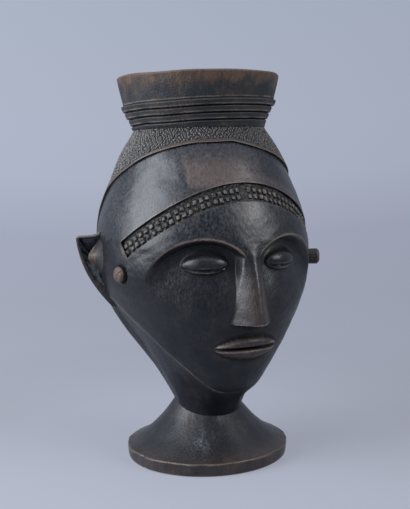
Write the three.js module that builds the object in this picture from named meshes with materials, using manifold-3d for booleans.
// A palm wine cup in the form of a head: one block of hardwood, carved from foot to drinking rim and
// hollowed from above, with a whittled peg let into a blind hole at each temple.
// Millimetres, +Z up, origin at the centre of the foot's underside, the face looking along -Y.
import * as THREE from 'three';
import { mergeVertices } from 'three/addons/utils/BufferGeometryUtils.js';
import Module from 'manifold-3d';

const wasm = await Module();
wasm.setup();

// Foot, from the floor to the waist
const footHeight = 30;
const footRadius = 43.3;
const footUndercut = 0.7;
const footEdgeHeight = 6.6;
const flareShoulder = 5;
const flareInset = 14.1;
const waistRadius = 17;
const waistSag = 0.16;

// Head, from the waist to the neck
const headHeight = 143.5;
const headSide = 55.4;
const headFront = 58.8;
const headBack = 62.5;
const widestRise = 78;
const neckRadius = 32.6;
const crownFullness = 0.8;
const crownReach = 26;
const chinRise = 11;
const chinDepth = 38;
const jawRise = 58;
const jawReach = 92;
const jawFade = { start: 4, end: 36 };
const jawHollow = 2.5;

// Cut hair, from the neck down over the crown to the nape
const hairThickness = 0.9;
const hairFront = 7.5;
const hairRecess = 16.3;
const hairDroop = 9;
const napeDrop = 38;

// Stud band across the forehead
const foreheadHeight = 20.4;
const bandWidth = 9;
const bandDepth = 1.5;
const bandFall = 41;
const bandEnd = 71;
const studSize = 2.3;
const studPitch = 3.7;
const studRowPitch = 3.2;
const studProud = 1.1;
const studSetting = 0.5;
const studGap = 2.6;

// Collar: the rings, then the drinking rim
const ringCount = 4;
const ringPitch = 3.4;
const ringNose = 2.5;
const ringSlant = 0.9;
const ringDrop = 0.8;
const ringDepth = 1.4;
const ringOverhang = 2.6;
const ringSpread = 5.1;
const rimHeight = 12.9;
const rimRadius = 42.3;
const rimWall = 4.2;
const rimLip = 0.8;

// Hollow
const floorThickness = 28;
const headWall = 17.4;
const neckWall = 4.6;
const bellyRise = 90;

// Face, on the usual canon: eyes halfway up the head, an eye's width between the eyes, as wide a nose
const eyeWidth = 22.4;
const eyeLine = 0.5;
const noseLine = 0.285;
const mouthLine = 0.19;
const lidHeight = 9.6;
const lidBulge = 3.4;
const slitWidth = 0.8;
const browRise = 11;
const socketHalfWidth = 22.5;
const socketHalfHeight = 20;
const socketHalfDepth = 8.5;
const socketDepth = 5.6;
const socketDrop = 7;
const socketLean = 22;
const noseProud = 10.5;
const noseBridge = 9;
const noseRidge = 5;
const mouthWidth = 33.6;
const lipHeight = 6;
const lipProud = 3.4;
const partingWidth = 0.9;

// Ears
const earAngle = 100;
const earLift = 1.8;
const earHeight = 38;
const earProud = 12.2;
const earDepth = 14;
const earWall = 2.4;
const tragusProud = 5.6;
const tragusReach = { top: 0.02, tip: 0.295, foot: 0.6 };

// Temple pegs and their blind holes
const pegs = {
  right_temple_peg: { side: -1, angle: 71.7, rise: 72.1, proud: 2.4 },
  left_temple_peg: { side: 1, angle: 65, rise: 74.8, proud: 5.8 },
};
const pegRadius = 4.1;
const pegTaper = 0.25;
const pegChamfer = 0.7;
const pegSeat = 6;
const pegClearance = 0.3;

// Facets
const columns = 54;
const frontDensity = 0.33;
const bowlFacets = 34;
const pegFacets = 18;

const degrees = Math.PI / 180;
const waistZ = footHeight;
const neckZ = waistZ + headHeight;
const rimZ = neckZ + ringCount * ringPitch + rimHeight;
const chinZ = waistZ + chinRise;
const widestZ = waistZ + widestRise;
const faceZ = (line) => THREE.MathUtils.lerp(chinZ, neckZ, line);
const eyeZ = faceZ(eyeLine);
const noseZ = faceZ(noseLine);
const mouthZ = faceZ(mouthLine);
const earTopZ = eyeZ + browRise + earLift;
const embed = 8;

const { lerp, smoothstep, clamp } = THREE.MathUtils;
const turn = (phi) => Math.abs(Math.atan2(Math.sin(phi), Math.cos(phi))) / degrees;

// The head's oval section: half width at the sides, depth of the face and depth of the back. It swells
// from the waist to the widest level and closes in to a circle at the neck, with a fuller crown just
// under it.
function section(z) {
  if (z >= widestZ) {
    const swell = Math.sin((Math.PI / 2) * clamp((neckZ - z) / (neckZ - widestZ), 0, 1));
    const crown = crownFullness * Math.sin(Math.PI * clamp((neckZ - z) / crownReach, 0, 1)) ** 2;
    return {
      side: lerp(neckRadius, headSide, swell) + crown,
      front: lerp(neckRadius, headFront, swell) + crown,
      back: lerp(neckRadius, headBack, swell) + crown,
    };
  }
  const sideFullness = 1.3;
  const chinFullness = 0.6;
  const swell = Math.sin((Math.PI / 2) * clamp((z - waistZ) / widestRise, 0, 1)) ** sideFullness;
  const face = Math.sin((Math.PI / 2) * clamp((z - chinZ) / (widestZ - chinZ), 0, 1)) ** chinFullness;
  return {
    side: lerp(waistRadius, headSide, swell),
    front: lerp(chinDepth, headFront, face),
    back: lerp(waistRadius, headBack, swell),
  };
}

// A point on a circle round the axis.
const around = (phi, radius, z) => new THREE.Vector3(radius * Math.sin(phi), -radius * Math.cos(phi), z);

// The level direction square to the head's skin at phi, which is 0 in front and grows towards +X.
function outward(phi, z) {
  const oval = section(z);
  const depth = Math.cos(phi) >= 0 ? oval.front : oval.back;
  return new THREE.Vector3(Math.sin(phi) / oval.side, -Math.cos(phi) / depth, 0).normalize();
}

// A point on the head's skin, or standing off it by out.
function skin(phi, z, out = 0) {
  const oval = section(z);
  const depth = Math.cos(phi) >= 0 ? oval.front : oval.back;
  const point = new THREE.Vector3(oval.side * Math.sin(phi), -depth * Math.cos(phi), z);
  return point.addScaledVector(outward(phi, z), out);
}

// The same for a place on the face, given by its distance from the middle line.
const facePhi = (x, z) => Math.asin(clamp(x / section(z).side, -1, 1));
const facePoint = (x, z, out) => skin(facePhi(x, z), z, out);

// The foot's trumpet flare, from the top of its thick edge up to the waist. In front it stops short, so that
// the waist hangs lower under the chin.
const flare = new THREE.QuadraticBezierCurve(
  new THREE.Vector2(footRadius, footEdgeHeight),
  new THREE.Vector2(footRadius - flareInset, footEdgeHeight + flareShoulder),
  new THREE.Vector2(waistRadius, waistZ),
);
function flarePoint(phi, t) {
  const { x, y } = flare.getPoint(t * (1 - waistSag * Math.max(Math.cos(phi), 0)));
  return around(phi, x, y);
}

// The edge of the jaw climbs from the chin to the ears and runs out behind them, and the underside is
// hollowed a little between that edge and the waist.
const jawRunOut = (phi) => smoothstep(turn(phi), jawReach + jawFade.start, jawReach + jawFade.end);
function jawHeight(phi) {
  const climb = smoothstep(turn(phi), 5, jawReach) ** 2;
  return lerp(lerp(chinZ, waistZ + jawRise, climb), waistZ + chinRise / 3, jawRunOut(phi));
}
function underJaw(phi, t) {
  const point = flarePoint(phi, 1).lerp(skin(phi, jawHeight(phi)), t);
  const hollow = jawHollow * Math.sin(Math.PI * t) * (1 - jawRunOut(phi));
  return point.addScaledVector(around(phi, 1, 0), -hollow);
}

// The hairline lies in a tilted plane over the forehead, dips behind the ears to the nape, and hangs
// a little lower over the left temple.
function hairlineHeight(phi) {
  const behindEars = smoothstep(turn(phi), earAngle, earAngle + 48);
  const recess = hairRecess * (1 - Math.cos(phi)) ** 1.5;
  const droop = hairDroop * Math.max(0, Math.sin(phi)) * (1 - behindEars);
  return neckZ - hairFront - recess - droop - napeDrop * behindEars;
}

// The stud band is tied round the forehead in a tilted plane, as a fillet would be. A place on it is given
// by the angle of its upper edge and the distance down from there, square to its run.
function bandPlace(phi, down) {
  const slope = Math.atan((bandFall * Math.sin(phi)) / headSide);
  const top = neckZ - hairFront - foreheadHeight - bandFall * (1 - Math.cos(phi));
  return [phi - (down * Math.sin(slope)) / headSide, top - down * Math.cos(slope)];
}
const bandPoint = (phi, down, out) => skin(...bandPlace(phi, down), out);

// A closed mesh over rings of points, each with as many points, with a fan over the first and the last
// ring. The faces point out whichever way the rings run.
function loft(rings) {
  const count = rings[0].length;
  const middle = (ring) => ring.reduce((sum, p) => sum.add(p), new THREE.Vector3()).divideScalar(count);
  const points = [...rings.flat(), middle(rings[0]), middle(rings.at(-1))];
  const faces = [];
  const last = (rings.length - 1) * count;
  for (let i = 0; i < count; i += 1) {
    const next = (i + 1) % count;
    for (let row = 0; row < last; row += count) {
      faces.push([row + i, row + next, row + next + count]);
      faces.push([row + i, row + next + count, row + i + count]);
    }
    faces.push([points.length - 2, next, i]);
    faces.push([points.length - 1, last + i, last + next]);
  }
  const volume = faces.reduce((sum, [a, b, c]) => (
    sum + points[a].dot(new THREE.Vector3().crossVectors(points[b], points[c]))), 0);
  if (volume < 0) faces.forEach((face) => face.reverse());
  const geometry = new THREE.BufferGeometry();
  geometry.setAttribute('position', new THREE.Float32BufferAttribute(points.flatMap((p) => p.toArray()), 3));
  geometry.setIndex(faces.flat());
  return geometry;
}

// Three.js geometry as a solid that can be joined and cut, and back again.
function solid(geometry) {
  const bare = geometry.clone();
  bare.deleteAttribute('normal');
  bare.deleteAttribute('uv');
  const merged = mergeVertices(bare, 1e-4);
  return new wasm.Manifold(new wasm.Mesh({
    numProp: 3,
    vertProperties: new Float32Array(merged.attributes.position.array),
    triVerts: new Uint32Array(merged.index.array),
  }));
}

function carved(manifold) {
  const mesh = manifold.getMesh();
  const geometry = new THREE.BufferGeometry();
  geometry.setAttribute('position', new THREE.BufferAttribute(mesh.vertProperties, 3));
  geometry.setIndex(new THREE.BufferAttribute(mesh.triVerts, 1));
  return geometry;
}

// The columns of points round the block stand closer together over the face than at the back.
const columnAngles = Array.from({ length: columns }, (_, i) => {
  const even = (i / columns) * 2 * Math.PI;
  return even - frontDensity * Math.sin(even);
});
const ringAt = (point) => columnAngles.map(point);
const turned = ([radius, z]) => ringAt((phi) => around(phi, radius, z));
const steps = (count) => Array.from({ length: count }, (_, i) => (i + 1) / count);

// Collar: rings that step outwards. Each slants in from its nose down to a sharp arris and is undercut there
// behind the ring below; the flared wall of the rim has the same arris at its foot.
function collarProfile() {
  const profile = [];
  const stepOut = 1.15;
  const ringRadius = (i) => neckRadius + ringOverhang + ringSpread * (Math.max(i, 0) / (ringCount - 1)) ** stepOut;
  const arrisZ = (i) => Math.max(neckZ + ringPitch * i - ringDrop, neckZ + ringDrop / 4);
  for (let i = 0; i <= ringCount; i += 1) {
    profile.push([ringRadius(i - 1) - ringDepth, arrisZ(i)]);
    profile.push([ringRadius(Math.min(i, ringCount - 1)) - ringSlant, arrisZ(i)]);
    if (i < ringCount) profile.push([ringRadius(i), neckZ + ringPitch * i - ringDrop + ringNose]);
  }
  profile.push([rimRadius, rimZ - rimLip]);
  profile.push([rimRadius - rimLip, rimZ]);
  return profile;
}

// The outside of the block, as one loft from the foot's underside to the top of the rim.
function block() {
  const under = steps(4).map((t) => ringAt((phi) => underJaw(phi, t)));
  const bare = steps(14).map((t) => ringAt((phi) => skin(phi, lerp(jawHeight(phi), hairlineHeight(phi), t))));
  const hair = [0, ...steps(7)].map((t) => ringAt((phi) => {
    const edge = hairlineHeight(phi) + hairThickness / 4;
    return skin(phi, lerp(edge, neckZ, t), hairThickness);
  }));
  const foot = [0, ...steps(7)].map((t) => ringAt((phi) => flarePoint(phi, t)));
  return loft([turned([footRadius - footUndercut, 0]), ...foot, ...under, ...bare, ...hair, ...collarProfile().map(turned)]);
}

// The hollow: a round-bottomed bowl, drawn in at the neck and flared out to the rim.
function hollow() {
  const floorZ = waistZ + floorThickness;
  const bellyZ = waistZ + bellyRise;
  const belly = headSide - headWall;
  const throat = neckRadius - neckWall;
  const above = 3;
  const bottom = new THREE.EllipseCurve(0, bellyZ, belly, bellyZ - floorZ, -Math.PI / 2, 0);
  const shoulder = new THREE.CubicBezierCurve(
    new THREE.Vector2(belly, bellyZ),
    new THREE.Vector2(belly, lerp(bellyZ, neckZ, 0.5)),
    new THREE.Vector2(throat, lerp(bellyZ, neckZ, 0.6)),
    new THREE.Vector2(throat, neckZ),
  );
  const flare = (rimRadius - rimWall - throat) / (rimZ - neckZ);
  const profile = [
    ...bottom.getPoints(7),
    ...shoulder.getPoints(6).slice(1),
    new THREE.Vector2(throat + flare * (rimZ - neckZ + above), rimZ + above),
    new THREE.Vector2(0, rimZ + above),
  ];
  profile[0].x = 0;
  return new THREE.LatheGeometry(profile, bowlFacets).rotateX(Math.PI / 2);
}

// A channel for the stud band, with square ends.
function bandChannel() {
  const stations = 20;
  return loft(Array.from({ length: stations + 1 }, (_, i) => {
    const phi = lerp(-bandEnd, bandEnd, i / stations) * degrees;
    return [
      bandPoint(phi, bandWidth, -bandDepth), bandPoint(phi, 0, -bandDepth),
      bandPoint(phi, 0, bandDepth), bandPoint(phi, bandWidth, bandDepth),
    ];
  }));
}

// Square studs in two rows along the channel, with a gap at the middle of the forehead. They are stepped
// off along the band's sloping run.
function studs() {
  const blocks = [];
  const middle = bandWidth * 0.56;
  const rowCentres = [middle - studRowPitch / 2, middle + studRowPitch / 2];
  const turnAt = (phi, length) => phi + length / headSide / Math.hypot(1, (bandFall * Math.sin(phi)) / headSide);
  const half = studSize / 2;
  for (const side of [-1, 1]) {
    const lastTurn = bandEnd * degrees - studSize / headSide;
    for (let phi = (studGap + half) / headSide; phi < lastTurn; phi = turnAt(phi, studPitch)) {
      for (const row of rowCentres) {
        blocks.push(loft([turnAt(phi, -half), turnAt(phi, half)].map((edge) => [
          bandPoint(side * edge, row + half, -bandDepth - studSetting),
          bandPoint(side * edge, row - half, -bandDepth - studSetting),
          bandPoint(side * edge, row - half, studProud - bandDepth),
          bandPoint(side * edge, row + half, studProud - bandDepth),
        ])));
      }
    }
  }
  return blocks;
}

// A pod of carving on the face: an oval bar along x whose middle line, half height, depth and outer
// bulge are given for each station from -1 to 1.
function pod({ width, centre, halfHeight, base, bulge, stations = 8 }) {
  const facets = 8;
  return loft(Array.from({ length: stations + 1 }, (_, i) => {
    const s = lerp(-1, 1, i / stations) * 0.985;
    return Array.from({ length: facets }, (_unused, k) => {
      const angle = (k / facets) * 2 * Math.PI;
      const { x, z } = centre(s);
      const swell = Math.sqrt(1 - s * s);
      return facePoint(
        x + (s * width) / 2,
        z + halfHeight * swell * Math.cos(angle),
        base(s) + bulge * swell * Math.sin(angle),
      );
    });
  }));
}

// Eye socket: an oval scoop that leans in at the top, so that it is deepest under the brow, which it
// leaves as a clean arch, and runs out over the cheek.
function socket(side) {
  const z = eyeZ - socketDrop;
  const phi = facePhi(side * eyeWidth, z);
  const out = outward(phi, z);
  const lean = socketLean * degrees;
  const reach = Math.hypot(socketHalfHeight * Math.sin(lean), socketHalfDepth * Math.cos(lean));
  const middle = skin(phi, z, reach - socketDepth);
  return new THREE.SphereGeometry(1, 24, 16)
    .scale(socketHalfWidth, socketHalfDepth, socketHalfHeight)
    .rotateX(-lean)
    .rotateZ(Math.atan2(out.x, -out.y))
    .translate(middle.x, middle.y, middle.z);
}

// Closed lid: an almond lying in the socket, and the slit between the lids.
const lidBase = (s) => -socketDepth * (0.95 - 0.3 * s * s);
const lid = (side) => pod({
  width: eyeWidth,
  centre: () => ({ x: side * eyeWidth, z: eyeZ }),
  halfHeight: lidHeight / 2,
  base: lidBase,
  bulge: lidBulge,
});
const slit = (side) => pod({
  width: eyeWidth * 0.86,
  centre: () => ({ x: side * eyeWidth, z: eyeZ - lidHeight * 0.12 }),
  halfHeight: slitWidth / 2,
  base: (s) => lidBase(s) + lidBulge * Math.sqrt(1 - s * s),
  bulge: slitWidth,
});

// Nose: a straight wedge, narrow between the eyes and an eye's width at its flat base.
function nose() {
  const bridgeZ = eyeZ + noseBridge;
  const stations = 6;
  return loft(Array.from({ length: stations + 1 }, (_, i) => {
    const t = i / stations;
    const z = lerp(bridgeZ, noseZ, t);
    const half = lerp(noseRidge * 0.7, eyeWidth / 2, t ** 1.3);
    const ridge = lerp(noseRidge * 0.3, noseRidge / 2, t);
    const proud = lerp(-0.6, noseProud, t ** 1.05);
    return [
      facePoint(-half, z, -embed), facePoint(-half, z, -0.6), facePoint(-ridge, z, proud),
      facePoint(ridge, z, proud), facePoint(half, z, -0.6), facePoint(half, z, -embed),
    ];
  }));
}

// Mouth: two full closed lips and the parting line between them.
function lip(direction) {
  return pod({
    width: mouthWidth,
    centre: (s) => ({ x: 0, z: mouthZ + direction * lipHeight * 0.46 * (1 - s * s) }),
    halfHeight: lipHeight / 2,
    base: () => -0.4,
    bulge: lipProud,
    stations: 10,
  });
}
const parting = () => pod({
  width: mouthWidth,
  centre: () => ({ x: 0, z: mouthZ }),
  halfHeight: partingWidth / 2,
  base: (s) => lipProud * 0.55 * Math.sqrt(1 - s * s),
  bulge: lipProud * 0.7,
  stations: 10,
});

// Ears stand off the head in their own frame: fore towards the face, out off the skin, and up.
function earPoint(side, fore, out, up) {
  const phi = earAngle * degrees;
  const root = skin(phi, earTopZ + up);
  const square = outward(phi, earTopZ + up);
  return new THREE.Vector3(
    side * (root.x + square.x * out + square.y * fore),
    root.y + square.y * out - square.x * fore,
    root.z,
  );
}

// The outline of an ear, flat on top and falling from its tip in one long curve to the jaw, drawn in by inset,
// which leaves the lower end of the ear solid.
function earOutline(inset, root) {
  const tip = new THREE.Vector2(earProud - inset, -inset);
  const belly = new THREE.Vector2(earProud * 0.7 - inset, -earHeight * 0.45);
  const lobe = new THREE.Vector2(0, -earHeight + inset * 6);
  const edge = new THREE.QuadraticBezierCurve(tip, belly, lobe).getPoints(7);
  return [new THREE.Vector2(root, -inset), ...edge, new THREE.Vector2(root, lobe.y)];
}

// Lofts an ear outline through stations of [fore, share of the outline's own reach kept].
function earLoft(side, inset, root, stations) {
  const outline = earOutline(inset, root);
  const middle = -earHeight * 0.34;
  const drawIn = 0.8;
  return loft(stations.map(([fore, share]) => outline.map(({ x, y }) => (
    earPoint(side, fore, x > 0 ? x * share : x, lerp(middle, y, lerp(1, share, drawIn)))))));
}

const earShell = (side) => earLoft(side, 0, -embed, [
  [-earDepth / 2, 0.35], [-earDepth * 0.3, 0.72], [0, 0.95], [earDepth * 0.3, 1],
]);
const earScoop = (side) => earLoft(side, earWall, -earWall, [
  [-earDepth * 0.12, 0.2], [0, 0.6], [earDepth * 0.16, 0.92], [earDepth * 0.35, 1.05],
]);

// Flap in front of the scoop: a thick blunt point at mid height, falling away forwards into the cheek.
function tragus(side) {
  const { top, tip, foot } = tragusReach;
  return loft([[0.16, 0.8], [0.34, 1], [0.6, 0.45], [0.85, -0.2]].map(([fore, share]) => (
    [[-embed / 2, top], [0, top], [tragusProud * share, tip * 0.9], [tragusProud * share, tip * 1.1],
      [0, foot], [-embed / 2, foot]].map(([out, down]) => (
      earPoint(side, earDepth * fore, out, -earHeight * down))))));
}

// A peg's axis runs square to the skin of the temple; its shape is turned about Y and laid on it.
function pegPlace({ side, angle, rise }) {
  const z = waistZ + rise;
  const phi = side * angle * degrees;
  const out = outward(phi, z);
  return { position: skin(phi, z), tilt: Math.atan2(-out.x, out.y) };
}

function pegShape({ proud }) {
  const profile = [
    [0, -pegSeat], [pegRadius - pegTaper, -pegSeat], [pegRadius, proud - pegChamfer],
    [pegRadius - pegChamfer, proud], [0, proud],
  ];
  return new THREE.LatheGeometry(profile.map(([r, y]) => new THREE.Vector2(r, y)), pegFacets);
}

function pegHole(peg) {
  const { position, tilt } = pegPlace(peg);
  const length = pegSeat + pegClearance + embed;
  return new THREE.CylinderGeometry(pegRadius + pegClearance, pegRadius + pegClearance, length, pegFacets)
    .translate(0, length / 2 - pegSeat - pegClearance, 0)
    .rotateZ(tilt)
    .translate(position.x, position.y, position.z);
}

function cupBody() {
  const both = (make) => [make(-1), make(1)];
  const cut = (body, tools) => tools.reduce((left, tool) => left.subtract(solid(tool)), body);
  const join = (body, pieces) => pieces.reduce((sum, piece) => sum.add(solid(piece)), body);
  let body = solid(block());
  body = cut(body, [bandChannel(), ...both(socket)]);
  body = join(body, [...studs(), ...both(earShell), ...both(lid), nose(), lip(-1), lip(1)]);
  body = cut(body, [...both(earScoop), ...both(slit), parting()]);
  body = join(body, both(tragus));
  return carved(cut(body, [...Object.values(pegs).map(pegHole), hollow()]));
}

// Blackened, oiled hardwood, and the paler end grain of the pegs
const blackWood = new THREE.MeshStandardMaterial({ color: 0x2a2624, roughness: 0.5, metalness: 0 });
const paleWood = new THREE.MeshStandardMaterial({ color: 0x8a6a4c, roughness: 0.6, metalness: 0 });

function namedMesh(name, geometry, material) {
  const mesh = new THREE.Mesh(geometry, material);
  mesh.name = name;
  return mesh;
}

const group = new THREE.Group();
group.add(namedMesh('cup_body', cupBody(), blackWood));
for (const [name, peg] of Object.entries(pegs)) {
  const { position, tilt } = pegPlace(peg);
  const mesh = namedMesh(name, pegShape(peg), paleWood);
  mesh.position.copy(position);
  mesh.rotation.z = tilt;
  group.add(mesh);
}

export default group;
